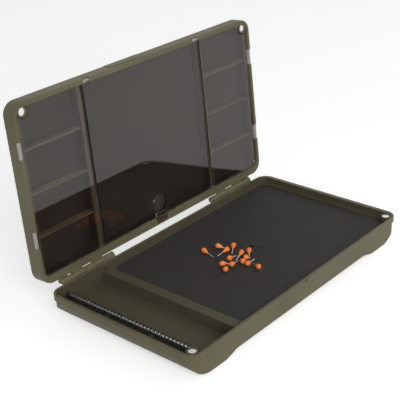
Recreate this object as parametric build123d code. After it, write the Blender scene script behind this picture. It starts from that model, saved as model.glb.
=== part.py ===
from build123d import *
import math
import os

# Rig box, modelled open as it stands in the photograph. Millimetres, +Z up.
# X runs along the length, +Y towards the hinges. Z is 0 under the two feet of the base.
# The lid pieces are modelled shut and then swung open about the main hinge axis.
# Lid places are given by v, the distance from the hinge axis towards the free edge,
# and w, the height above the closing plane while the lid is shut.

# Overall box
BOX_LENGTH = 360.0
BOX_WIDTH = 192.4
CORNER_RADIUS = 14.0
CLOSING_GAP = 0.3
LID_OPEN_ANGLE = 94.5
WALL = 2.25

# Base shell
BASE_DEPTH = 30.0
ARCH_RISE = 4.5
LIP_HEIGHT = 6.0
LIP_STEP = 1.75
RIM_WIDTH = 3.0
END_CURVE_RADIUS = 27.5
FOOT_LENGTH = 52.0
ARCH_SLOPE_LENGTH = 15.0
ARCH_BLEND_RADIUS = 20.0
BOTTOM_FILLET = 2.5
OVERLAP = 1.0

# Base compartments
LEFT_ROOM_LENGTH = 68.5
LEFT_ROOM_DEPTH = 20.5
LEFT_LEDGE_WIDTH = 4.5
DIVIDER_THICKNESS = 4.5
DIVIDER_DROP = 6.7
DIVIDER_LEDGE_DROP = 7.3
DIVIDER_LEDGE_WIDTH = 7.7
LEDGE_DROP = 6.5
LEDGE_WIDTH = 3.6
RIGHT_LEDGE_WIDTH = 4.8
MAIN_RIGHT_RIM = 5.4
COMPARTMENT_RADIUS = 8.0
RIB_COUNT = 7
RIB_THICKNESS = 2.0
STUD_RADIUS = 1.2
STUD_INSET = 2.6
STUD_HEIGHT = 2.0
THUMB_TAB_LENGTH = 6.0
THUMB_TAB_REACH = 1.2
THUMB_TAB_HEIGHT = 2.0
THUMB_TAB_DROP = 0.4

# Foam board
FOAM_DROP = 8.0
FOAM_THICKNESS = 9.0
FOAM_CLEARANCE = 0.3

# Main hinges
HINGE_SETBACK = 4.7
KNUCKLE_RADIUS = 3.5
KNUCKLE_COUNT = 5
KNUCKLE_GAP = 0.4
HINGE_CENTRE_INSET = 61.0
HINGE_LENGTH = 72.8
HINGE_PIN_RADIUS = 1.25
PIN_CLEARANCE = 0.05
HINGE_PIN_INSET = 0.6
STOP_REACH = 7.1
STOP_LENGTH = 8.0
STOP_CLEARANCE = 0.3

# Closing magnets
MAGNET_RADIUS = 4.0
MAGNET_THICKNESS = 3.0
MAGNET_EDGE_X = 11.5
MAGNET_EDGE_Y = 9.7
BASE_MAGNET_DROP = 1.1
LID_MAGNET_DROP = 1.4
MAGNET_CLEARANCE = 0.05
BOSS_RADIUS = 6.0
BOSS_DROP = 0.6

# Rig spring on its rail
SPRING_INSET = 17.0
SPRING_TOP_DROP = 4.5
SPRING_RADIUS = 3.5
SPRING_WIRE_RADIUS = 0.6
SPRING_PITCH = 4.8
SPRING_END_SPACE = 9.2
SPRING_CENTRE_Y = 2.0
ROD_RADIUS = 1.6
ROD_CLEARANCE = 0.05
RAIL_THICKNESS = 1.5
RAIL_RIGHT_REACH = 5.0
RAIL_CLEARANCE = 0.2
POST_THICKNESS = 3.0
POST_WIDTH = 5.0
POST_GAP = 0.3
CLIP_LENGTH = 5.0
CLIP_WIDTH = 3.0
CLIP_HEIGHT = 3.0
CLIP_PLACES_Y = (28.0, -31.0)

# Lid shell
LID_DEPTH = 17.5
LID_EDGE_FILLET = 3.0
LID_SIDE_RIM = 4.0
LID_FREE_RIM = 5.0
LID_HINGE_RIM = 7.8
LID_CAVITY_RADIUS = 9.0
LID_LEDGE_WIDTH = 4.5
DOOR_TOP = 2.0
DOOR_THICKNESS = 1.3
DOOR_UNDER_GAP = 0.3
SIDE_COLUMN_LENGTH = 86.0
CROSS_WALL_THICKNESS = 4.0
FINGER_PAD_X0 = -45.0
FINGER_PAD_X1 = 3.0
FINGER_PAD_W0 = 4.0
FINGER_PAD_W1 = 14.0
FINGER_PAD_RAISE = 0.7

# Lid dividers
LID_DIVIDER_PITCH = 46.5
LID_DIVIDER_THICKNESS = 1.6
LID_DIVIDER_DROP = 6.0
GROOVE_DEPTH = 1.5
GROOVE_CLEARANCE = 0.2

# Clear doors
DOOR_EDGE_GAP = 0.6
SIDE_DOOR_REST = 2.0
CENTRE_DOOR_INSET = 6.0
DOOR_CORNER_RADIUS = 3.0
DOOR_AXIS_OUT = 2.5
CENTRE_AXIS_OUT = 2.5
DOOR_AXIS_DROP = 1.6
DOOR_KNUCKLE_RADIUS = 1.4
DOOR_PIN_RADIUS = 0.6
DOOR_PIN_GRIP = 5.0
DOOR_HINGE_SPACING = 94.5
DOOR_HINGE_OFFSET = 2.3
DOOR_TAB_LENGTH = 17.6
TAB_SKIRT_DROP = 3.2
TAB_SKIRT_THICKNESS = 1.0
NOTCH_GAP = 0.4
NOTCH_DEPTH = 4.2
NOTCH_INNER_REACH = 6.5
CENTRE_EAR_LENGTH = 8.0
CENTRE_EAR_REACH = 3.0
BOSS_DOOR_GAP = 1.5
THUMB_HOLE_RADIUS = 10.0
THUMB_HOLE_V = 28.0
THUMB_HOLE_FLOOR_V = 18.0
TONGUE_LEFT_X = -9.0
TONGUE_RIGHT_X = 8.0
TONGUE_END_V = 6.0
TONGUE_DROP = 0.4
TONGUE_GAP = 0.4
TONGUE_ROOT = 0.5
HOLE_FLOOR_RAISE = 1.0

# Loose rig pins on the foam: place of each head's centre and the way its needle points
PIN_HEAD_RADIUS = 3.0
PIN_HEAD_LENGTH = 6.0
PIN_CONE_SHARE = 0.35
PIN_NECK_RADIUS = 0.9
NEEDLE_RADIUS = 0.4
NEEDLE_LENGTH = 9.0
PIN_SEAT_GAP = 0.1
BLACK_PIN_HEAD_RADIUS = 2.0
RIG_PINS = (
    (-10.7, 33.0, -98), (6.5, 27.7, -76), (6.2, 14.5, 175), (17.6, 14.5, 211),
    (-7.9, -0.3, -2), (-21.9, -1.4, -33), (-16.5, -10.7, 8), (-28.8, -11.8, 26),
    (10.2, -2.4, 194), (18.6, -6.2, 218), (-4.5, -16.0, 56), (-5.1, -23.0, 10),
    (-4.1, -36.4, 69), (4.3, -13.2, 44),
)
BLACK_PIN = (32.6, -0.2, -58)

# Values worked out from the sizes above
HALF_LENGTH = BOX_LENGTH / 2
HALF_WIDTH = BOX_WIDTH / 2
RIM_Z = BASE_DEPTH
BODY_HALF_LENGTH = HALF_LENGTH - LIP_STEP
FOOT_INNER_X = HALF_LENGTH - FOOT_LENGTH
BODY_HALF_WIDTH = HALF_WIDTH - LIP_STEP
INNER_HALF_LENGTH = BODY_HALF_LENGTH - WALL
INNER_HALF_WIDTH = HALF_WIDTH - RIM_WIDTH
AXIS_Y = HALF_WIDTH + HINGE_SETBACK
LEFT_LEDGE_X = -INNER_HALF_LENGTH + LEFT_LEDGE_WIDTH
DIVIDER_LEFT = -INNER_HALF_LENGTH + LEFT_ROOM_LENGTH
DIVIDER_RIGHT = DIVIDER_LEFT + DIVIDER_THICKNESS
MAIN_RIGHT = HALF_LENGTH - MAIN_RIGHT_RIM
FOAM_LEFT = DIVIDER_RIGHT + DIVIDER_LEDGE_WIDTH
FOAM_RIGHT = MAIN_RIGHT - RIGHT_LEDGE_WIDTH
FOAM_HALF_WIDTH = INNER_HALF_WIDTH - LEDGE_WIDTH
FOAM_TOP_Z = RIM_Z - FOAM_DROP
FOAM_BOTTOM_Z = FOAM_TOP_Z - FOAM_THICKNESS
MAGNET_X = HALF_LENGTH - MAGNET_EDGE_X
MAGNET_Y = MAGNET_EDGE_Y - HALF_WIDTH
HINGE_CENTRE_X = HALF_LENGTH - HINGE_CENTRE_INSET
KNUCKLE_LENGTH = (HINGE_LENGTH - (KNUCKLE_COUNT - 1) * KNUCKLE_GAP) / KNUCKLE_COUNT
KNUCKLE_PITCH = KNUCKLE_LENGTH + KNUCKLE_GAP
SPRING_X = -INNER_HALF_LENGTH + SPRING_INSET
SPRING_LENGTH = 2 * (INNER_HALF_WIDTH - SPRING_END_SPACE)
SPRING_Z = RIM_Z - SPRING_TOP_DROP - SPRING_RADIUS
RAIL_TOP_Z = SPRING_Z - SPRING_RADIUS - POST_GAP
LID_HINGE_V = HINGE_SETBACK
LID_FREE_V = HINGE_SETBACK + BOX_WIDTH
CAVITY_V0 = LID_HINGE_V + LID_HINGE_RIM
CAVITY_V1 = LID_FREE_V - LID_FREE_RIM
CAVITY_HALF_X = HALF_LENGTH - LID_SIDE_RIM
LEDGE_W = DOOR_TOP + DOOR_THICKNESS + DOOR_UNDER_GAP
CAVITY_W = LID_DEPTH - WALL
CELL_HALF_X = CAVITY_HALF_X - LID_LEDGE_WIDTH
CROSS_WALL_X = HALF_LENGTH - SIDE_COLUMN_LENGTH
LID_MIDDLE_V = (LID_HINGE_V + LID_FREE_V) / 2
LID_MAGNET_V = LID_FREE_V - MAGNET_EDGE_Y
SIDE_DOOR_INNER_X = CROSS_WALL_X - SIDE_DOOR_REST
CENTRE_DOOR_HALF = CROSS_WALL_X - CENTRE_DOOR_INSET
SIDE_AXIS_X = CAVITY_HALF_X + DOOR_AXIS_OUT
CENTRE_AXIS_V = CAVITY_V1 + CENTRE_AXIS_OUT
DOOR_HINGE_MIDDLE_V = LID_MIDDLE_V + DOOR_HINGE_OFFSET


def span_box(x0, x1, y0, y1, z0, z1):
    """Block between two corners."""
    size = (x1 - x0, y1 - y0, z1 - z0)
    return Pos((x0 + x1) / 2, (y0 + y1) / 2, (z0 + z1) / 2) * Box(*size)


def round_block(x0, x1, y0, y1, z0, z1, radius):
    """Block with rounded upright corners."""
    outline = RectangleRounded(x1 - x0, y1 - y0, radius)
    return Pos((x0 + x1) / 2, (y0 + y1) / 2, z0) * extrude(outline, z1 - z0)


def x_cylinder(radius, x0, x1, y, z):
    """Cylinder along X."""
    return Pos((x0 + x1) / 2, y, z) * Rot(0, 90, 0) * Cylinder(radius, x1 - x0)


def y_cylinder(radius, y0, y1, x, z):
    """Cylinder along Y."""
    return Pos(x, (y0 + y1) / 2, z) * Rot(90, 0, 0) * Cylinder(radius, y1 - y0)


def z_cylinder(radius, x, y, z0, z1):
    """Upright cylinder."""
    return Pos(x, y, (z0 + z1) / 2) * Cylinder(radius, z1 - z0)


def lid_block(x0, x1, v0, v1, w0, w1):
    """Block in lid places, in the shut position."""
    return span_box(x0, x1, AXIS_Y - v1, AXIS_Y - v0, RIM_Z + w0, RIM_Z + w1)


def lid_round_block(x0, x1, v0, v1, w0, w1, radius):
    """Block with rounded corners in lid places, in the shut position."""
    return round_block(x0, x1, AXIS_Y - v1, AXIS_Y - v0, RIM_Z + w0, RIM_Z + w1, radius)


def opened(piece):
    """Swing a piece from the shut position to the open one, about the main hinge axis."""
    axis = Pos(0, AXIS_Y, RIM_Z)
    return axis * Rot(-LID_OPEN_ANGLE, 0, 0) * axis.inverse() * piece


def side_profile(inset):
    """Lengthwise outline of the base: round ends, two feet and a raised middle."""
    half = BODY_HALF_LENGTH - inset
    low = inset
    arch = inset + ARCH_RISE
    foot = FOOT_INNER_X
    rise = FOOT_INNER_X - ARCH_SLOPE_LENGTH
    points = ((-half, RIM_Z), (-half, low), (-foot, low), (-rise, arch),
              (rise, arch), (foot, low), (half, low), (half, RIM_Z))
    end = END_CURVE_RADIUS - inset
    blend = ARCH_BLEND_RADIUS
    curve = FilletPolyline(*points, radius=(end, blend, blend, blend, blend, end))
    return make_face(curve + Line(points[-1], points[0]))


def base_form(inset, half_width, corner, edge_radius):
    """Solid that follows the base's outside, set in by the given distance."""
    bar = extrude(Plane.XZ * side_profile(inset), amount=half_width, both=True)
    low = bar.edges().filter_by(lambda e: abs(abs(e.center().Y) - half_width) < 0.01)
    low = low.filter_by(lambda e: e.center().Z < RIM_Z - 0.01)
    bar = fillet(low, edge_radius)
    half = BODY_HALF_LENGTH - inset
    return bar & round_block(-half, half, -half_width, half_width, -OVERLAP, RIM_Z, corner)


def base_outside():
    """Lip band over the inset body."""
    top = RIM_Z - CLOSING_GAP / 2
    body = base_form(0, BODY_HALF_WIDTH, CORNER_RADIUS - LIP_STEP, BOTTOM_FILLET)
    body &= span_box(-HALF_LENGTH, HALF_LENGTH, -HALF_WIDTH, HALF_WIDTH, -OVERLAP, top)
    lip = round_block(-HALF_LENGTH, HALF_LENGTH, -HALF_WIDTH, HALF_WIDTH,
                      RIM_Z - LIP_HEIGHT, top, CORNER_RADIUS)
    return body, body + lip


def left_room():
    """Space of the deep left compartment, with its ledge along the end wall."""
    inside = base_form(WALL, INNER_HALF_WIDTH, CORNER_RADIUS - RIM_WIDTH, WALL)
    room = inside & span_box(LEFT_LEDGE_X, DIVIDER_LEFT, -HALF_WIDTH, HALF_WIDTH,
                             RIM_Z - LEFT_ROOM_DEPTH, RIM_Z)
    mouth = round_block(-INNER_HALF_LENGTH, DIVIDER_LEFT + COMPARTMENT_RADIUS,
                        -INNER_HALF_WIDTH, INNER_HALF_WIDTH, RIM_Z - LEDGE_DROP, RIM_Z,
                        CORNER_RADIUS - RIM_WIDTH)
    mouth &= span_box(-HALF_LENGTH, DIVIDER_LEFT, -HALF_WIDTH, HALF_WIDTH, 0, RIM_Z)
    return room + mouth


def main_room():
    """Space over and around the foam board, with the supporting ribs left standing."""
    mouth = round_block(DIVIDER_RIGHT, MAIN_RIGHT, -INNER_HALF_WIDTH, INNER_HALF_WIDTH,
                        RIM_Z - LEDGE_DROP, RIM_Z, COMPARTMENT_RADIUS)
    over_divider = span_box(DIVIDER_LEFT - COMPARTMENT_RADIUS,
                            DIVIDER_RIGHT + COMPARTMENT_RADIUS,
                            -INNER_HALF_WIDTH, INNER_HALF_WIDTH,
                            RIM_Z - DIVIDER_DROP, RIM_Z)
    beside_divider = span_box(DIVIDER_RIGHT, FOAM_LEFT + COMPARTMENT_RADIUS,
                              -FOAM_HALF_WIDTH, FOAM_HALF_WIDTH,
                              RIM_Z - DIVIDER_LEDGE_DROP, RIM_Z)
    pocket = round_block(FOAM_LEFT, FOAM_RIGHT, -FOAM_HALF_WIDTH, FOAM_HALF_WIDTH,
                         0, RIM_Z - LEDGE_DROP, COMPARTMENT_RADIUS)
    pocket &= base_form(WALL, INNER_HALF_WIDTH, CORNER_RADIUS - RIM_WIDTH, WALL)
    step = (FOAM_RIGHT - FOAM_LEFT) / (RIB_COUNT + 1)
    for number in range(1, RIB_COUNT + 1):
        x = FOAM_LEFT + number * step
        pocket -= span_box(x - RIB_THICKNESS / 2, x + RIB_THICKNESS / 2,
                           -HALF_WIDTH, HALF_WIDTH, 0, FOAM_BOTTOM_Z)
    return mouth + over_divider + beside_divider + pocket


def knuckle_spans(side, first):
    """X ranges of every other knuckle of one hinge, starting at the given one."""
    start = side * HINGE_CENTRE_X - HINGE_LENGTH / 2
    return [(start + i * KNUCKLE_PITCH, start + i * KNUCKLE_PITCH + KNUCKLE_LENGTH)
            for i in range(first, KNUCKLE_COUNT, 2)]


def stop_block(side):
    """Stop behind the outer knuckle, on which the open lid's back wall comes to rest."""
    angle = math.radians(LID_OPEN_ANGLE)
    w = (STOP_REACH + LID_HINGE_V * math.cos(angle)) / math.sin(angle)
    top = RIM_Z + LID_HINGE_V * math.sin(angle) + w * math.cos(angle) - STOP_CLEARANCE
    outer = side * (HINGE_CENTRE_X + HINGE_LENGTH / 2)
    x0, x1 = sorted((outer, outer - side * STOP_LENGTH))
    return span_box(x0, x1, AXIS_Y, AXIS_Y + STOP_REACH, RIM_Z - KNUCKLE_RADIUS, top)


def base_knuckles(side):
    """The base's three knuckles of one hinge, with their webs and the stop."""
    bore = x_cylinder(HINGE_PIN_RADIUS + PIN_CLEARANCE,
                      side * HINGE_CENTRE_X - HINGE_LENGTH, side * HINGE_CENTRE_X + HINGE_LENGTH,
                      AXIS_Y, RIM_Z)
    group = stop_block(side)
    for x0, x1 in knuckle_spans(side, 0):
        group += x_cylinder(KNUCKLE_RADIUS, x0, x1, AXIS_Y, RIM_Z)
        group += span_box(x0, x1, HALF_WIDTH - RIM_WIDTH / 2, AXIS_Y,
                          RIM_Z - KNUCKLE_RADIUS, RIM_Z - CLOSING_GAP / 2)
    return group - bore


def make_base_tray():
    """Moulded base with two compartments, hinge knuckles and magnet bosses."""
    body, tray = base_outside()
    tray = tray - left_room() - main_room()
    for side in (-1, 1):
        x = side * MAGNET_X
        boss = z_cylinder(BOSS_RADIUS, x, MAGNET_Y, 0, RIM_Z - BOSS_DROP) & body
        tray += boss
        tray += base_knuckles(side)
    for side in (-1, 1):
        floor = RIM_Z - BASE_MAGNET_DROP - MAGNET_THICKNESS
        tray -= z_cylinder(MAGNET_RADIUS + MAGNET_CLEARANCE, side * MAGNET_X, MAGNET_Y,
                           floor, RIM_Z)
    tray += z_cylinder(STUD_RADIUS, DIVIDER_RIGHT + STUD_INSET, FOAM_HALF_WIDTH + LEDGE_WIDTH / 2,
                       RIM_Z - DIVIDER_DROP - OVERLAP, RIM_Z - LEDGE_DROP + STUD_HEIGHT)
    tray += span_box(-THUMB_TAB_LENGTH / 2, THUMB_TAB_LENGTH / 2,
                     -HALF_WIDTH - THUMB_TAB_REACH, -HALF_WIDTH + OVERLAP,
                     RIM_Z - THUMB_TAB_DROP - THUMB_TAB_HEIGHT, RIM_Z - THUMB_TAB_DROP)
    return tray


def make_rig_foam():
    """Foam board that takes the pins, cut round the magnet boss."""
    gap = FOAM_CLEARANCE
    board = round_block(FOAM_LEFT + gap, FOAM_RIGHT - gap, gap - FOAM_HALF_WIDTH,
                        FOAM_HALF_WIDTH - gap, FOAM_BOTTOM_Z, FOAM_TOP_Z,
                        COMPARTMENT_RADIUS - gap)
    return board - z_cylinder(BOSS_RADIUS + gap, MAGNET_X, MAGNET_Y, 0, RIM_Z)


def make_hinge_pin(side):
    """Steel pin through all knuckles of one main hinge."""
    middle = side * HINGE_CENTRE_X
    half = HINGE_LENGTH / 2 - HINGE_PIN_INSET
    return x_cylinder(HINGE_PIN_RADIUS, middle - half, middle + half, AXIS_Y, RIM_Z)


def make_base_magnet(side):
    """Disc magnet of the base."""
    top = RIM_Z - BASE_MAGNET_DROP
    return z_cylinder(MAGNET_RADIUS, side * MAGNET_X, MAGNET_Y, top - MAGNET_THICKNESS, top)


def spring_ends():
    """Front and back ends of the coil, along Y."""
    return SPRING_CENTRE_Y - SPRING_LENGTH / 2, SPRING_CENTRE_Y + SPRING_LENGTH / 2


def make_rig_spring():
    """Open coil that holds the loops of tied rigs."""
    front, _ = spring_ends()
    wire = SPRING_RADIUS - SPRING_WIRE_RADIUS
    length = SPRING_LENGTH - 2 * SPRING_WIRE_RADIUS
    path = Helix(SPRING_PITCH, length, wire)
    section = Plane(path @ 0, z_dir=path % 0) * Circle(SPRING_WIRE_RADIUS)
    coil = sweep(section, path, is_frenet=True)
    place = Pos(SPRING_X, front + SPRING_WIRE_RADIUS, SPRING_Z)
    return place * Rot(-90, 0, 0) * coil


def make_spring_rod():
    """Rod through the coil, held by the two posts."""
    front, back = spring_ends()
    reach = POST_GAP + POST_THICKNESS
    return y_cylinder(ROD_RADIUS, front - reach, back + reach, SPRING_X, SPRING_Z)


def make_spring_rail():
    """Black strip under the coil with a post at each end."""
    front, back = spring_ends()
    side = INNER_HALF_WIDTH - RAIL_CLEARANCE
    edge = SPRING_X + RAIL_RIGHT_REACH
    strip = span_box(LEFT_LEDGE_X, edge, -side, side, RAIL_TOP_Z - RAIL_THICKNESS, RAIL_TOP_Z)
    strip &= round_block(RAIL_CLEARANCE - INNER_HALF_LENGTH, edge + COMPARTMENT_RADIUS, -side, side,
                         0, RIM_Z, CORNER_RADIUS - RIM_WIDTH)
    strip -= z_cylinder(BOSS_RADIUS + RAIL_CLEARANCE, -MAGNET_X, MAGNET_Y, 0, RIM_Z)
    half = POST_WIDTH / 2
    for y0 in (front - POST_GAP - POST_THICKNESS, back + POST_GAP):
        strip += span_box(SPRING_X - half, SPRING_X + half, y0, y0 + POST_THICKNESS,
                          RAIL_TOP_Z - RAIL_THICKNESS, SPRING_Z)
        strip += y_cylinder(half, y0, y0 + POST_THICKNESS, SPRING_X, SPRING_Z)
    bore = y_cylinder(ROD_RADIUS + ROD_CLEARANCE, -HALF_WIDTH, HALF_WIDTH, SPRING_X, SPRING_Z)
    return strip - bore


def make_rail_clips():
    """Two small black clips pressed on the rail beside the coil."""
    right = SPRING_X - SPRING_RADIUS - POST_GAP
    clips = [span_box(right - CLIP_WIDTH, right, y - CLIP_LENGTH / 2, y + CLIP_LENGTH / 2,
                      RAIL_TOP_Z, RAIL_TOP_Z + CLIP_HEIGHT) for y in CLIP_PLACES_Y]
    return Compound(children=clips)


def pin_frame(x, y, heading, radius):
    """Place and tilt of a pin that lies on the foam, its needle along local Z."""
    reach = PIN_HEAD_LENGTH + NEEDLE_LENGTH
    height = radius + PIN_SEAT_GAP
    drop = height - NEEDLE_RADIUS - PIN_SEAT_GAP
    tilt = 90 + math.degrees(math.asin(drop / reach))
    return Pos(x, y, FOAM_TOP_Z + height) * Rot(0, 0, heading) * Rot(0, tilt, 0)


def make_pin_heads():
    """Drop-shaped plastic heads of the rig pins."""
    start = PIN_HEAD_RADIUS * PIN_CONE_SHARE
    neck_base = math.sqrt(PIN_HEAD_RADIUS ** 2 - start ** 2)
    length = PIN_HEAD_LENGTH - start
    cone = Pos(0, 0, start + length / 2) * Cone(neck_base, PIN_NECK_RADIUS, length)
    head = Sphere(PIN_HEAD_RADIUS) + cone
    return Compound(children=[pin_frame(*pin, PIN_HEAD_RADIUS) * head for pin in RIG_PINS])


def make_pin_needles():
    """Steel needles of the rig pins, standing on the ends of their heads."""
    needle = Pos(0, 0, PIN_HEAD_LENGTH + NEEDLE_LENGTH / 2) * Cylinder(NEEDLE_RADIUS, NEEDLE_LENGTH)
    return Compound(children=[pin_frame(*pin, PIN_HEAD_RADIUS) * needle for pin in RIG_PINS])


def make_black_pin():
    """One black pin beside the others."""
    length = PIN_HEAD_LENGTH + NEEDLE_LENGTH
    shank = Pos(0, 0, length / 2) * Cylinder(NEEDLE_RADIUS, length)
    return pin_frame(*BLACK_PIN, BLACK_PIN_HEAD_RADIUS) * (Sphere(BLACK_PIN_HEAD_RADIUS) + shank)


def lid_knuckles(side):
    """The lid's two knuckles of one hinge, with their webs."""
    group = None
    for x0, x1 in knuckle_spans(side, 1):
        barrel = x_cylinder(KNUCKLE_RADIUS, x0, x1, AXIS_Y, RIM_Z)
        web = lid_block(x0, x1, 0, LID_HINGE_V + OVERLAP, CLOSING_GAP / 2, KNUCKLE_RADIUS)
        group = barrel + web if group is None else group + barrel + web
    bore = x_cylinder(HINGE_PIN_RADIUS + PIN_CLEARANCE,
                      side * HINGE_CENTRE_X - HINGE_LENGTH, side * HINGE_CENTRE_X + HINGE_LENGTH,
                      AXIS_Y, RIM_Z)
    return group - bore


def lid_rooms():
    """Door opening, and the deep cells between the cross walls."""
    opening = lid_round_block(-CAVITY_HALF_X, CAVITY_HALF_X, CAVITY_V0, CAVITY_V1,
                              0, LEDGE_W, LID_CAVITY_RADIUS)
    wall = CROSS_WALL_THICKNESS / 2
    rooms = opening + lid_block(-CROSS_WALL_X + wall, CROSS_WALL_X - wall,
                                CAVITY_V0, CAVITY_V1, LEDGE_W - OVERLAP, CAVITY_W)
    for side in (-1, 1):
        x0, x1 = sorted((side * (CROSS_WALL_X + wall), side * CELL_HALF_X))
        rooms += lid_block(x0, x1, CAVITY_V0, CAVITY_V1, LEDGE_W - OVERLAP, CAVITY_W)
    return rooms


def divider_middles():
    """Places of the three dividers of a side column, from the hinge side to the free edge."""
    return [LID_MIDDLE_V + step * LID_DIVIDER_PITCH for step in (-1, 0, 1)]


def lid_grooves(side):
    """Grooves that hold the dividers' ends."""
    wall = CROSS_WALL_THICKNESS / 2
    half = LID_DIVIDER_THICKNESS / 2 + GROOVE_CLEARANCE
    x0, x1 = sorted((side * (CROSS_WALL_X + wall - GROOVE_DEPTH),
                     side * (CELL_HALF_X + GROOVE_DEPTH)))
    cuts = [lid_block(x0, x1, v - half, v + half, LEDGE_W - OVERLAP, CAVITY_W)
            for v in divider_middles()]
    return cuts[0] + cuts[1] + cuts[2]


def tab_middles():
    """Middles of the two hinge tabs of a side door."""
    half = DOOR_HINGE_SPACING / 2
    return DOOR_HINGE_MIDDLE_V - half, DOOR_HINGE_MIDDLE_V + half


def side_door_pin_block(side, radius):
    """Pins, or their bores, at one side door."""
    half = DOOR_TAB_LENGTH / 2 + DOOR_PIN_GRIP
    low, high = tab_middles()
    pins = [y_cylinder(radius, AXIS_Y - v - half, AXIS_Y - v + half,
                       side * SIDE_AXIS_X, RIM_Z + DOOR_AXIS_DROP) for v in (low, high)]
    return pins


def centre_door_pin_block(radius):
    """Pins, or their bores, at the centre door's two ears."""
    half = CENTRE_EAR_LENGTH / 2 + DOOR_PIN_GRIP
    middle = CENTRE_DOOR_HALF - CENTRE_EAR_LENGTH / 2
    return [x_cylinder(radius, side * middle - half, side * middle + half,
                       AXIS_Y - CENTRE_AXIS_V, RIM_Z + DOOR_AXIS_DROP) for side in (-1, 1)]


def lid_notches():
    """Notches in the rim for the doors' hinge tabs, ears and latch tongue."""
    half = DOOR_TAB_LENGTH / 2 + NOTCH_GAP
    cuts = []
    for side in (-1, 1):
        inner = side * (HALF_LENGTH - NOTCH_INNER_REACH)
        x0, x1 = sorted((inner, side * (HALF_LENGTH + OVERLAP)))
        cuts += [lid_block(x0, x1, v - half, v + half, 0, NOTCH_DEPTH) for v in tab_middles()]
        x0, x1 = sorted((side * (CENTRE_DOOR_HALF + NOTCH_GAP),
                         side * (CENTRE_DOOR_HALF - CENTRE_EAR_LENGTH - NOTCH_GAP)))
        reach = CENTRE_AXIS_V + DOOR_KNUCKLE_RADIUS + NOTCH_GAP
        cuts.append(lid_block(x0, x1, CAVITY_V1 - OVERLAP, reach, 0, LEDGE_W))
        cuts.append(lid_block(x0, x1, CENTRE_AXIS_V, LID_FREE_V + OVERLAP,
                              0, DOOR_AXIS_DROP + NOTCH_GAP))
    cuts.append(lid_block(TONGUE_LEFT_X - TONGUE_GAP, TONGUE_RIGHT_X + TONGUE_GAP,
                          TONGUE_END_V - TONGUE_GAP, CAVITY_V0 + OVERLAP,
                          0, TONGUE_DROP + DOOR_THICKNESS + TONGUE_GAP))
    return cuts


def make_lid_shell():
    """Moulded lid tray with cross walls, door seats and hinge knuckles."""
    shell = lid_round_block(-HALF_LENGTH, HALF_LENGTH, LID_HINGE_V, LID_FREE_V,
                            CLOSING_GAP / 2, LID_DEPTH, CORNER_RADIUS)
    shell = fillet(shell.faces().sort_by(Axis.Z)[-1].edges(), LID_EDGE_FILLET)
    shell -= lid_rooms()
    floor = LID_MAGNET_DROP + MAGNET_THICKNESS
    y = AXIS_Y - LID_MAGNET_V
    for side in (-1, 1):
        shell -= lid_grooves(side)
        shell += z_cylinder(BOSS_RADIUS, side * MAGNET_X, y, RIM_Z + BOSS_DROP, RIM_Z + CAVITY_W)
        shell += lid_knuckles(side)
    for side in (-1, 1):
        shell -= z_cylinder(MAGNET_RADIUS + MAGNET_CLEARANCE, side * MAGNET_X, y,
                            RIM_Z, RIM_Z + floor)
    for cut in lid_notches():
        shell -= cut
    bore = DOOR_PIN_RADIUS + PIN_CLEARANCE
    for cut in side_door_pin_block(-1, bore) + side_door_pin_block(1, bore):
        shell -= cut
    for cut in centre_door_pin_block(bore):
        shell -= cut
    shell += lid_block(FINGER_PAD_X0, FINGER_PAD_X1, LID_FREE_V - OVERLAP,
                       LID_FREE_V + FINGER_PAD_RAISE, FINGER_PAD_W0, FINGER_PAD_W1)
    return shell


def make_lid_magnet(side):
    """Disc magnet of the lid."""
    low = RIM_Z + LID_MAGNET_DROP
    return z_cylinder(MAGNET_RADIUS, side * MAGNET_X, AXIS_Y - LID_MAGNET_V,
                      low, low + MAGNET_THICKNESS)


def make_lid_divider(side, v):
    """Removable plate between two cells of a side column."""
    wall = CROSS_WALL_THICKNESS / 2
    end = GROOVE_DEPTH - GROOVE_CLEARANCE
    x0, x1 = sorted((side * (CROSS_WALL_X + wall - end), side * (CELL_HALF_X + end)))
    half = LID_DIVIDER_THICKNESS / 2
    return lid_block(x0, x1, v - half, v + half, LID_DIVIDER_DROP, CAVITY_W)


def make_side_door(side):
    """Clear door over the cells of one side column."""
    near = CAVITY_HALF_X - DOOR_EDGE_GAP
    bottom = DOOR_TOP + DOOR_THICKNESS
    x0, x1 = sorted((side * SIDE_DOOR_INNER_X, side * near))
    door = lid_round_block(x0, x1, CAVITY_V0 + DOOR_EDGE_GAP, CAVITY_V1 - DOOR_EDGE_GAP,
                           DOOR_TOP, bottom, DOOR_CORNER_RADIUS)
    door &= lid_round_block(-near, near, CAVITY_V0 + DOOR_EDGE_GAP, CAVITY_V1 - DOOR_EDGE_GAP,
                            DOOR_TOP, bottom, LID_CAVITY_RADIUS - DOOR_EDGE_GAP)
    door -= z_cylinder(BOSS_RADIUS + BOSS_DOOR_GAP, side * MAGNET_X, AXIS_Y - LID_MAGNET_V,
                       RIM_Z, RIM_Z + LID_DEPTH)
    half = DOOR_TAB_LENGTH / 2
    outer = SIDE_AXIS_X + DOOR_KNUCKLE_RADIUS
    for v in tab_middles():
        y0, y1 = AXIS_Y - v - half, AXIS_Y - v + half
        door += y_cylinder(DOOR_KNUCKLE_RADIUS, y0, y1, side * SIDE_AXIS_X, RIM_Z + DOOR_AXIS_DROP)
        a, b = sorted((side * (near - OVERLAP), side * SIDE_AXIS_X))
        door += lid_block(a, b, v - half, v + half, DOOR_TOP, DOOR_AXIS_DROP + DOOR_KNUCKLE_RADIUS)
        a, b = sorted((side * (outer - TAB_SKIRT_THICKNESS), side * outer))
        door += lid_block(a, b, v - half, v + half, DOOR_AXIS_DROP, TAB_SKIRT_DROP)
    for bore in side_door_pin_block(side, DOOR_PIN_RADIUS + PIN_CLEARANCE):
        door -= bore
    return door


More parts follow.
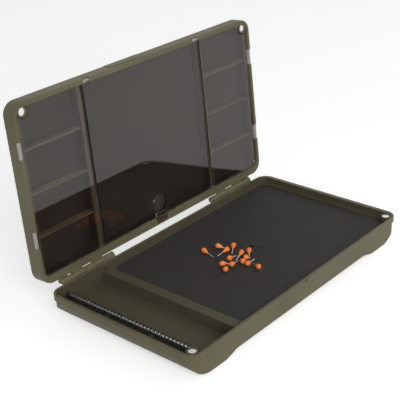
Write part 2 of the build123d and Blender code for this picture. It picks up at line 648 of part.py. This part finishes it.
def make_centre_door():
    """Clear door over the middle compartment, with a thumb hole and a latch tongue."""
    near = CAVITY_V1 - DOOR_EDGE_GAP
    bottom = DOOR_TOP + DOOR_THICKNESS
    v0 = CAVITY_V0 + DOOR_EDGE_GAP
    door = lid_round_block(-CENTRE_DOOR_HALF, CENTRE_DOOR_HALF, v0, near,
                           DOOR_TOP, bottom, DOOR_CORNER_RADIUS)
    hole = z_cylinder(THUMB_HOLE_RADIUS, 0, AXIS_Y - THUMB_HOLE_V, RIM_Z, RIM_Z + LID_DEPTH)
    hole &= lid_block(-THUMB_HOLE_RADIUS, THUMB_HOLE_RADIUS, THUMB_HOLE_FLOOR_V + HOLE_FLOOR_RAISE,
                      THUMB_HOLE_V + THUMB_HOLE_RADIUS, 0, LID_DEPTH)
    door -= hole
    door += lid_block(TONGUE_LEFT_X, TONGUE_RIGHT_X, v0 + TONGUE_ROOT, THUMB_HOLE_FLOOR_V,
                      TONGUE_DROP, bottom)
    door += lid_block(TONGUE_LEFT_X, TONGUE_RIGHT_X, TONGUE_END_V, THUMB_HOLE_FLOOR_V,
                      TONGUE_DROP, TONGUE_DROP + DOOR_THICKNESS)
    for side in (-1, 1):
        x0, x1 = sorted((side * (CENTRE_DOOR_HALF - CENTRE_EAR_LENGTH), side * CENTRE_DOOR_HALF))
        door += x_cylinder(DOOR_KNUCKLE_RADIUS, x0, x1, AXIS_Y - CENTRE_AXIS_V,
                           RIM_Z + DOOR_AXIS_DROP)
        door += lid_block(x0, x1, near - CENTRE_EAR_REACH, CENTRE_AXIS_V, DOOR_TOP,
                          DOOR_AXIS_DROP + DOOR_KNUCKLE_RADIUS)
    for bore in centre_door_pin_block(DOOR_PIN_RADIUS + PIN_CLEARANCE):
        door -= bore
    return door


def base_pieces():
    """Every piece that stays with the base."""
    return {
        "base_tray": make_base_tray(),
        "rig_foam": make_rig_foam(),
        "hinge_pin_left": make_hinge_pin(-1),
        "hinge_pin_right": make_hinge_pin(1),
        "base_magnet_left": make_base_magnet(-1),
        "base_magnet_right": make_base_magnet(1),
        "rig_spring": make_rig_spring(),
        "spring_rod": make_spring_rod(),
        "spring_rail": make_spring_rail(),
        "rail_clips": make_rail_clips(),
        "rig_pin_heads": make_pin_heads(),
        "rig_pin_needles": make_pin_needles(),
        "black_rig_pin": make_black_pin(),
    }


def lid_pieces():
    """Every piece that swings with the lid, in the shut position."""
    pieces = {
        "lid_shell": make_lid_shell(),
        "lid_magnet_left": make_lid_magnet(-1),
        "lid_magnet_right": make_lid_magnet(1),
        "door_left": make_side_door(-1),
        "door_centre": make_centre_door(),
        "door_right": make_side_door(1),
    }
    for name, side in (("left", -1), ("right", 1)):
        for row, v in zip(("lower", "middle", "upper"), divider_middles()):
            pieces[f"lid_divider_{name}_{row}"] = make_lid_divider(side, v)
        for row, pin in zip(("lower", "upper"), side_door_pin_block(side, DOOR_PIN_RADIUS)):
            pieces[f"door_pin_{name}_{row}"] = pin
    for name, pin in zip(("left", "right"), centre_door_pin_block(DOOR_PIN_RADIUS)):
        pieces[f"door_pin_centre_{name}"] = pin
    return pieces


def middle_y(pieces):
    """Middle of the open box from front to back."""
    boxes = [piece.bounding_box() for piece in pieces.values()]
    return (min(box.min.Y for box in boxes) + max(box.max.Y for box in boxes)) / 2


def all_pieces():
    """The open box, centred over the origin."""
    pieces = base_pieces()
    for name, piece in lid_pieces().items():
        pieces[name] = opened(piece)
    shift = -middle_y(pieces)
    return {name: Pos(0, shift, 0) * piece for name, piece in pieces.items()}, shift


PIECES, SHIFT_Y = all_pieces()
os.makedirs("parts", exist_ok=True)
for name, piece in PIECES.items():
    piece.label = name
    export_step(piece, f"parts/{name}.step")
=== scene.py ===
import bpy
import math
from mathutils import Euler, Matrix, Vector

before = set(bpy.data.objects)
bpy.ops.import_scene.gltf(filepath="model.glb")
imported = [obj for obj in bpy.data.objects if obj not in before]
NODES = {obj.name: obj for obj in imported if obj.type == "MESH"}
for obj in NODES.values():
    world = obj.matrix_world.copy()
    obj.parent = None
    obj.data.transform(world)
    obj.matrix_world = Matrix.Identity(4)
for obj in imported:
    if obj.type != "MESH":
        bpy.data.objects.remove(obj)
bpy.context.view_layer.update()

# Camera, found from the box's edges in the photograph
CAMERA_PLACE = (-0.7230, -0.6116, 0.5399)
CAMERA_TURN = (64.408, 2.262, -49.633)
CAMERA_LENS = 89.15
SENSOR = 36.0

# Colours, linear
OLIVE = (0.150, 0.138, 0.080)
OLIVE_DARK = (0.108, 0.097, 0.052)
# Painted shade: darker colour for the inner faces of the base
BASE_INNER_PAINTED_SHADE = (0.080, 0.069, 0.043)
# Painted shade: darker colour for the inner faces of the lid
LID_INNER_PAINTED_SHADE = (0.050, 0.046, 0.040)
# Painted light: a lighter copy of the olive for the lid's dividers
OLIVE_PAINTED_LIT = (0.340, 0.310, 0.230)
FOAM = (0.027, 0.0245, 0.0235)
FOAM_LIGHT = (0.042, 0.038, 0.036)
CLEAR = (0.68, 0.61, 0.58)
FROST = (0.60, 0.58, 0.55)
STEEL = (0.62, 0.61, 0.60)
NICKEL = (0.86, 0.84, 0.80)
BLACK = (0.012, 0.012, 0.012)
BLACK_GREY = (0.030, 0.029, 0.028)
ORANGE = (0.92, 0.19, 0.02)
ORANGE_PALE = (1.0, 0.32, 0.08)
FLOOR = (0.80, 0.80, 0.81)
WHITE = (1.0, 1.0, 1.0)

# Shader values that are the same all over a piece
PLASTIC_IOR = 1.46
FOAM_IOR = 1.42
DOOR_IOR = 1.40
OXIDE_IOR = 1.5
MATT_SPECULAR = 0.3
WAX_WEIGHT = 0.15
WAX_DEPTH = 0.001
STEEL_ROUGHNESS = 0.22
NICKEL_ROUGHNESS = 0.30
WIRE_ROUGHNESS = 0.18
LINE_ROUGHNESS = 0.12
LINE_SHADE = 0.8
DRAWN_STRETCH = (0.05, 1.0, 1.0)

# Frosted hinge tabs and ears of the doors lie beyond these places, in metres
TAB_X = 0.1757
EAR_Z = 0.2215
FROST_ROUGHNESS = 0.30
FROST_TRANSMISSION = 0.55

# Inside of the base, which is painted a shade darker, in metres: half sizes, middle along Y, lowest
# inner face, and the most that the two distances from the middle add up to inside a rounded corner
INNER_HALF_X = 0.1761
INNER_HALF_Y = 0.0934
BASE_MIDDLE_Y = -0.0181
INNER_LOW_Z = 0.0070
INNER_CORNER_REACH = 0.2642

# Open lid: a point of the hinge axis, the ways through and up the lid, and the reach of its inside,
# which is painted a shade darker
HINGE_AXIS = (0.0, 0.0828, 0.0300)
LID_THROUGH = (0.0, 0.9969, -0.0785)
LID_UP = (0.0, 0.0785, 0.9969)
LID_INNER_DEPTHS = (0.0050, 0.0160)
LID_INNER_HEIGHTS = (0.0123, 0.1923)

# Light
WORLD_STRENGTH = 0.30
KEY_POWER = 28.0
KEY_SIZE = 1.2
KEY_PLACE = (-1.1, -1.6, 1.15)
FILL_POWER = 5.0
FILL_SIZE = 1.6
FILL_PLACE = (1.5, -0.8, 1.2)
FLOOR_GLOW = 0.53
FLOOR_SIZE = 8.0
FLOOR_ROUGHNESS = 0.9
LAMP_AIM = (0, 0, 0.05)


def rgba(colour):
    """Colour with full opacity."""
    return (*colour, 1.0)


class Material:
    """A procedural material built round one shader."""

    def __init__(self, name):
        self.data = bpy.data.materials.new(name)
        self.data.use_nodes = True
        self.nodes = self.data.node_tree.nodes
        self.shader = self.nodes["Principled BSDF"]
        self.place = self.add("ShaderNodeTexCoord").outputs["Object"]
        self.normal = None

    def add(self, kind, **values):
        """New node with some of its values set."""
        node = self.nodes.new(kind)
        for key, value in values.items():
            setattr(node, key, value)
        return node

    def link(self, out, into):
        """Join two sockets."""
        self.data.node_tree.links.new(out, into)

    def math(self, operation, *values):
        """Result of a sum over sockets and plain numbers."""
        node = self.add("ShaderNodeMath", operation=operation)
        for socket, value in zip(node.inputs, values):
            if isinstance(value, float):
                socket.default_value = value
            else:
                self.link(value, socket)
        return node.outputs[0]

    def axes(self):
        """The X, Y and Z of the object's own place."""
        node = self.add("ShaderNodeSeparateXYZ")
        self.link(self.place, node.inputs[0])
        return node.outputs

    def noise(self, scale, detail=4.0, roughness=0.55, stretch=None):
        """Noise over the object's own place, in cycles per metre."""
        node = self.add("ShaderNodeTexNoise")
        node.inputs["Scale"].default_value = scale
        node.inputs["Detail"].default_value = detail
        node.inputs["Roughness"].default_value = roughness
        source = self.place
        if stretch:
            mapping = self.add("ShaderNodeMapping")
            mapping.inputs["Scale"].default_value = stretch
            self.link(source, mapping.inputs["Vector"])
            source = mapping.outputs["Vector"]
        self.link(source, node.inputs["Vector"])
        return node.outputs["Fac"]

    def cells(self, scale):
        """Cell pattern over the object's own place."""
        node = self.add("ShaderNodeTexVoronoi", feature="F1")
        node.inputs["Scale"].default_value = scale
        self.link(self.place, node.inputs["Vector"])
        return node.outputs["Distance"]

    def ramp(self, fac, low, high, colours):
        """Colour that goes from one to another as fac goes from low to high."""
        node = self.add("ShaderNodeValToRGB")
        stops = node.color_ramp.elements
        for stop, place, colour in zip(stops, (low, high), colours):
            stop.position = place
            stop.color = rgba(colour)
        self.link(fac, node.inputs["Fac"])
        return node.outputs["Color"]

    def levels(self, fac, low, high):
        """Map a 0 to 1 pattern to a range of values."""
        node = self.add("ShaderNodeMapRange")
        node.inputs["To Min"].default_value = low
        node.inputs["To Max"].default_value = high
        self.link(fac, node.inputs["Value"])
        return node.outputs["Result"]

    def soften(self, radius):
        """Round the look of sharp edges."""
        node = self.add("ShaderNodeBevel", samples=4)
        node.inputs["Radius"].default_value = radius
        self.normal = node.outputs["Normal"]

    def bump(self, height, depth, strength=1.0):
        """Add relief of a real depth in metres."""
        node = self.add("ShaderNodeBump")
        node.inputs["Strength"].default_value = strength
        node.inputs["Distance"].default_value = depth
        self.link(height, node.inputs["Height"])
        if self.normal:
            self.link(self.normal, node.inputs["Normal"])
        self.normal = node.outputs["Normal"]

    def finish(self, colour, roughness, **sockets):
        """Join the colour, roughness and relief to the shader, and set its plain values."""
        for value, name in ((colour, "Base Color"), (roughness, "Roughness")):
            socket = self.shader.inputs[name]
            if isinstance(value, (tuple, float)):
                socket.default_value = rgba(value) if isinstance(value, tuple) else value
            else:
                self.link(value, socket)
        if self.normal:
            self.link(self.normal, self.shader.inputs["Normal"])
        for name, value in sockets.items():
            self.shader.inputs[name.replace("_", " ")].default_value = value
        return self.data


def within(material, value, middle, half):
    """1 where a value lies within half of the middle, and 0 elsewhere."""
    return material.math("COMPARE", value, middle, half)


def all_of(material, masks):
    """1 where every mask is 1."""
    result = masks[0]
    for mask in masks[1:]:
        result = material.math("MULTIPLY", result, mask)
    return result


def off_corners(material, x, y):
    """1 inside the rounded corners of the base and 0 beyond them."""
    across = material.math("ABSOLUTE", x)
    from_middle = material.math("ABSOLUTE", material.math("SUBTRACT", y, BASE_MIDDLE_Y))
    total = material.math("ADD", across, from_middle)
    return within(material, total, 0.0, INNER_CORNER_REACH)


def base_painted_shade_mask(material):
    """Mask of the base's inner faces, where painted shade goes."""
    x, y, z = material.axes()
    return all_of(material, [within(material, x, 0.0, INNER_HALF_X),
                             within(material, y, BASE_MIDDLE_Y, INNER_HALF_Y),
                             material.math("GREATER_THAN", z, INNER_LOW_Z),
                             off_corners(material, x, y)])


def along(material, way, reach):
    """1 where the distance from the hinge axis, along a way of the lid, is inside the reach."""
    offset = material.add("ShaderNodeVectorMath", operation="SUBTRACT")
    material.link(material.place, offset.inputs[0])
    offset.inputs[1].default_value = HINGE_AXIS
    distance = material.add("ShaderNodeVectorMath", operation="DOT_PRODUCT")
    material.link(offset.outputs["Vector"], distance.inputs[0])
    distance.inputs[1].default_value = way
    low, high = reach
    return within(material, distance.outputs["Value"], (low + high) / 2, (high - low) / 2)


def lid_painted_shade_mask(material):
    """Mask of the lid's inner faces, deeper than the walls' tops, where painted shade goes."""
    return all_of(material, [within(material, material.axes()["X"], 0.0, INNER_HALF_X),
                             along(material, LID_THROUGH, LID_INNER_DEPTHS),
                             along(material, LID_UP, LID_INNER_HEIGHTS)])


def olive_plastic(name, dark, light, shade_mask=None, inner=None):
    """Moulded plastic with a fine matt spark grain and slow colour drift, and painted shade inside
    where a mask is given.
    """
    m = Material(name)
    drift = m.noise(scale=9.0, detail=3.0)
    m.soften(radius=0.0005)
    m.bump(m.noise(scale=2600.0, detail=2.0), depth=0.00005, strength=0.5)
    m.bump(m.noise(scale=38.0, detail=3.0), depth=0.0004, strength=0.12)
    wear = m.levels(m.noise(scale=120.0, detail=5.0), low=0.42, high=0.60)
    colour = m.ramp(drift, low=0.3, high=0.7, colours=(dark, light))
    if shade_mask:
        mix = m.add("ShaderNodeMix", data_type="RGBA")
        m.link(shade_mask(m), mix.inputs["Factor"])
        m.link(colour, mix.inputs["A"])
        mix.inputs["B"].default_value = rgba(inner)
        colour = mix.outputs["Result"]
    return m.finish(colour, wear, IOR=PLASTIC_IOR, Specular_IOR_Level=MATT_SPECULAR)


def foam_board():
    """Closed-cell foam: small cells, a skived surface and a little dust."""
    m = Material("foam_board")
    m.bump(m.cells(scale=900.0), depth=0.00025, strength=0.7)
    m.bump(m.noise(scale=60.0, detail=4.0), depth=0.0005, strength=0.25)
    tone = m.noise(scale=420.0, detail=6.0, roughness=0.75)
    rough = m.levels(m.noise(scale=150.0, detail=4.0), low=0.62, high=0.82)
    colour = m.ramp(tone, low=0.35, high=0.72, colours=(FOAM, FOAM_LIGHT))
    return m.finish(colour, rough, IOR=FOAM_IOR, Specular_IOR_Level=MATT_SPECULAR)


def hinge_ends(material):
    """Mask of the doors' moulded hinge tabs and ears."""
    x, _, z = material.axes()
    tabs = material.math("GREATER_THAN", material.math("ABSOLUTE", x), TAB_X)
    ears = material.math("GREATER_THAN", z, EAR_Z)
    return material.math("MAXIMUM", tabs, ears)


def clear_plastic():
    """Clear moulded sheet with a slow ripple, and frosted hinge ends."""
    m = Material("clear_plastic")
    ends = hinge_ends(m)
    m.bump(m.noise(scale=14.0, detail=2.0), depth=0.0003, strength=0.08)
    haze = m.levels(m.noise(scale=24.0, detail=3.0), low=0.0, high=0.02)
    rough = m.math("MULTIPLY_ADD", ends, FROST_ROUGHNESS, haze)
    see_through = m.levels(ends, low=1.0, high=FROST_TRANSMISSION)
    m.link(see_through, m.shader.inputs["Transmission Weight"])
    colour = m.ramp(ends, low=0.4, high=0.6, colours=(CLEAR, FROST))
    return m.finish(colour, rough, IOR=DOOR_IOR)


def brushed_metal(name, colour, rough):
    """Metal with fine drawn lines."""
    m = Material(name)
    lines = m.noise(scale=1500.0, detail=3.0, roughness=0.6, stretch=DRAWN_STRETCH)
    m.bump(lines, depth=0.00002, strength=0.4)
    darker = tuple(LINE_SHADE * value for value in colour)
    return m.finish(m.ramp(lines, low=0.3, high=0.7, colours=(darker, colour)),
                    m.levels(lines, low=rough, high=rough + LINE_ROUGHNESS), Metallic=1.0)


def black_metal():
    """Black oxide wire with a half gloss."""
    m = Material("black_metal")
    m.bump(m.noise(scale=1800.0, detail=3.0), depth=0.00003, strength=0.4)
    tone = m.noise(scale=700.0, detail=4.0)
    rough = m.levels(m.noise(scale=900.0, detail=4.0), low=0.30, high=0.46)
    colour = m.ramp(tone, low=0.35, high=0.7, colours=(BLACK, BLACK_GREY))
    return m.finish(colour, rough, IOR=OXIDE_IOR)


def black_plastic():
    """Matt black moulded plastic."""
    m = Material("black_plastic")
    m.soften(radius=0.0003)
    m.bump(m.noise(scale=2600.0, detail=2.0), depth=0.00005, strength=0.6)
    tone = m.noise(scale=300.0, detail=4.0)
    rough = m.levels(m.noise(scale=400.0, detail=4.0), low=0.45, high=0.6)
    colour = m.ramp(tone, low=0.3, high=0.7, colours=(BLACK, BLACK_GREY))
    return m.finish(colour, rough, IOR=PLASTIC_IOR)


def orange_plastic():
    """Bright moulded pin heads, a little waxy."""
    m = Material("orange_plastic")
    m.bump(m.noise(scale=1400.0, detail=3.0), depth=0.00005, strength=0.4)
    tone = m.noise(scale=260.0, detail=3.0)
    rough = m.levels(m.noise(scale=500.0, detail=3.0), low=0.28, high=0.42)
    colour = m.ramp(tone, low=0.35, high=0.7, colours=(ORANGE, ORANGE_PALE))
    return m.finish(colour, rough, IOR=PLASTIC_IOR,
                    Subsurface_Weight=WAX_WEIGHT, Subsurface_Scale=WAX_DEPTH)


def paint(names, material):
    """Give CAD nodes a material in every slot."""
    for name in names:
        mesh = NODES[name].data
        mesh.materials.clear()
        mesh.materials.append(material)


def paint_all():
    """Finish of every CAD node."""
    every = list(NODES)
    # The base and lid are painted a shade darker inside, where shade falls
    base = olive_plastic("base_plastic", OLIVE_DARK, OLIVE, base_painted_shade_mask, BASE_INNER_PAINTED_SHADE)
    lid = olive_plastic("lid_plastic", OLIVE_DARK, OLIVE, lid_painted_shade_mask, LID_INNER_PAINTED_SHADE)
    paint(["base_tray"], base)
    paint(["lid_shell"], lid)
    # The dividers are painted lighter than the shell, as painted light on the same olive plastic
    paint([n for n in every if n.startswith("lid_divider")],
          olive_plastic("divider_plastic", OLIVE, OLIVE_PAINTED_LIT))
    paint(["rig_foam"], foam_board())
    paint(["door_left", "door_centre", "door_right"], clear_plastic())
    steel = brushed_metal("steel", STEEL, STEEL_ROUGHNESS)
    pins = [n for n in every if n.startswith(("hinge_pin", "door_pin"))]
    paint(pins + ["spring_rod"], steel)
    paint(["rig_pin_needles"], brushed_metal("bright_wire", NICKEL, WIRE_ROUGHNESS))
    paint([n for n in every if "magnet" in n], brushed_metal("nickel", NICKEL, NICKEL_ROUGHNESS))
    paint(["rig_spring"], black_metal())
    paint(["spring_rail", "rail_clips", "black_rig_pin"], black_plastic())
    paint(["rig_pin_heads"], orange_plastic())


def seen_white(tree, plain, white, shader_mix):
    """Show the white shader to the camera, mirrors and clear parts, and the plain one to the rest."""
    paths = tree.nodes.new("ShaderNodeLightPath")
    first = tree.nodes.new("ShaderNodeMath")
    first.operation = "MAXIMUM"
    tree.links.new(paths.outputs["Is Camera Ray"], first.inputs[0])
    tree.links.new(paths.outputs["Is Glossy Ray"], first.inputs[1])
    second = tree.nodes.new("ShaderNodeMath")
    second.operation = "MAXIMUM"
    tree.links.new(first.outputs[0], second.inputs[0])
    tree.links.new(paths.outputs["Is Transmission Ray"], second.inputs[1])
    tree.links.new(second.outputs[0], shader_mix.inputs[0])
    tree.links.new(plain, shader_mix.inputs[1])
    tree.links.new(white, shader_mix.inputs[2])


def make_world():
    """Even pale surroundings."""
    world = bpy.data.worlds.new("studio")
    bpy.context.scene.world = world
    world.use_nodes = True
    tree = world.node_tree
    plain = tree.nodes["Background"]
    plain.inputs["Color"].default_value = rgba(WHITE)
    plain.inputs["Strength"].default_value = WORLD_STRENGTH
    white = tree.nodes.new("ShaderNodeBackground")
    white.inputs["Color"].default_value = rgba(WHITE)
    mix = tree.nodes.new("ShaderNodeMixShader")
    seen_white(tree, plain.outputs[0], white.outputs[0], mix)
    tree.links.new(mix.outputs[0], tree.nodes["World Output"].inputs["Surface"])


def make_floor():
    """Plain pale floor that keeps the object's shadow."""
    mesh = bpy.data.meshes.new("floor")
    half = FLOOR_SIZE / 2
    corners = [(-half, -half, 0), (half, -half, 0), (half, half, 0), (-half, half, 0)]
    mesh.from_pydata(corners, [], [(0, 1, 2, 3)])
    floor = bpy.data.objects.new("floor", mesh)
    bpy.context.scene.collection.objects.link(floor)
    data = bpy.data.materials.new("floor")
    data.use_nodes = True
    tree = data.node_tree
    shader = tree.nodes["Principled BSDF"]
    shader.inputs["Base Color"].default_value = rgba(FLOOR)
    shader.inputs["Roughness"].default_value = FLOOR_ROUGHNESS
    glow = tree.nodes.new("ShaderNodeEmission")
    glow.inputs["Strength"].default_value = FLOOR_GLOW
    add = tree.nodes.new("ShaderNodeAddShader")
    tree.links.new(shader.outputs[0], add.inputs[0])
    tree.links.new(glow.outputs[0], add.inputs[1])
    mix = tree.nodes.new("ShaderNodeMixShader")
    seen_white(tree, shader.outputs[0], add.outputs[0], mix)
    tree.links.new(mix.outputs[0], tree.nodes["Material Output"].inputs["Surface"])
    mesh.materials.append(data)


def make_light(name, place, size, power):
    """Soft square lamp aimed at the box."""
    data = bpy.data.lights.new(name, "AREA")
    data.size = size
    data.energy = power
    lamp = bpy.data.objects.new(name, data)
    lamp.location = place
    aim = Vector(LAMP_AIM) - Vector(place)
    lamp.rotation_euler = aim.to_track_quat("-Z", "Y").to_euler()
    bpy.context.scene.collection.objects.link(lamp)


def make_camera():
    """Camera at the photograph's viewing angle."""
    data = bpy.data.cameras.new("camera")
    data.lens = CAMERA_LENS
    data.sensor_width = SENSOR
    camera = bpy.data.objects.new("camera", data)
    camera.location = CAMERA_PLACE
    camera.rotation_euler = Euler([math.radians(angle) for angle in CAMERA_TURN])
    bpy.context.scene.collection.objects.link(camera)
    bpy.context.scene.camera = camera


bpy.context.scene.view_settings.view_transform = "Standard"
make_camera()
make_world()
make_floor()
make_light("key", KEY_PLACE, KEY_SIZE, KEY_POWER)
make_light("fill", FILL_PLACE, FILL_SIZE, FILL_POWER)
paint_all()
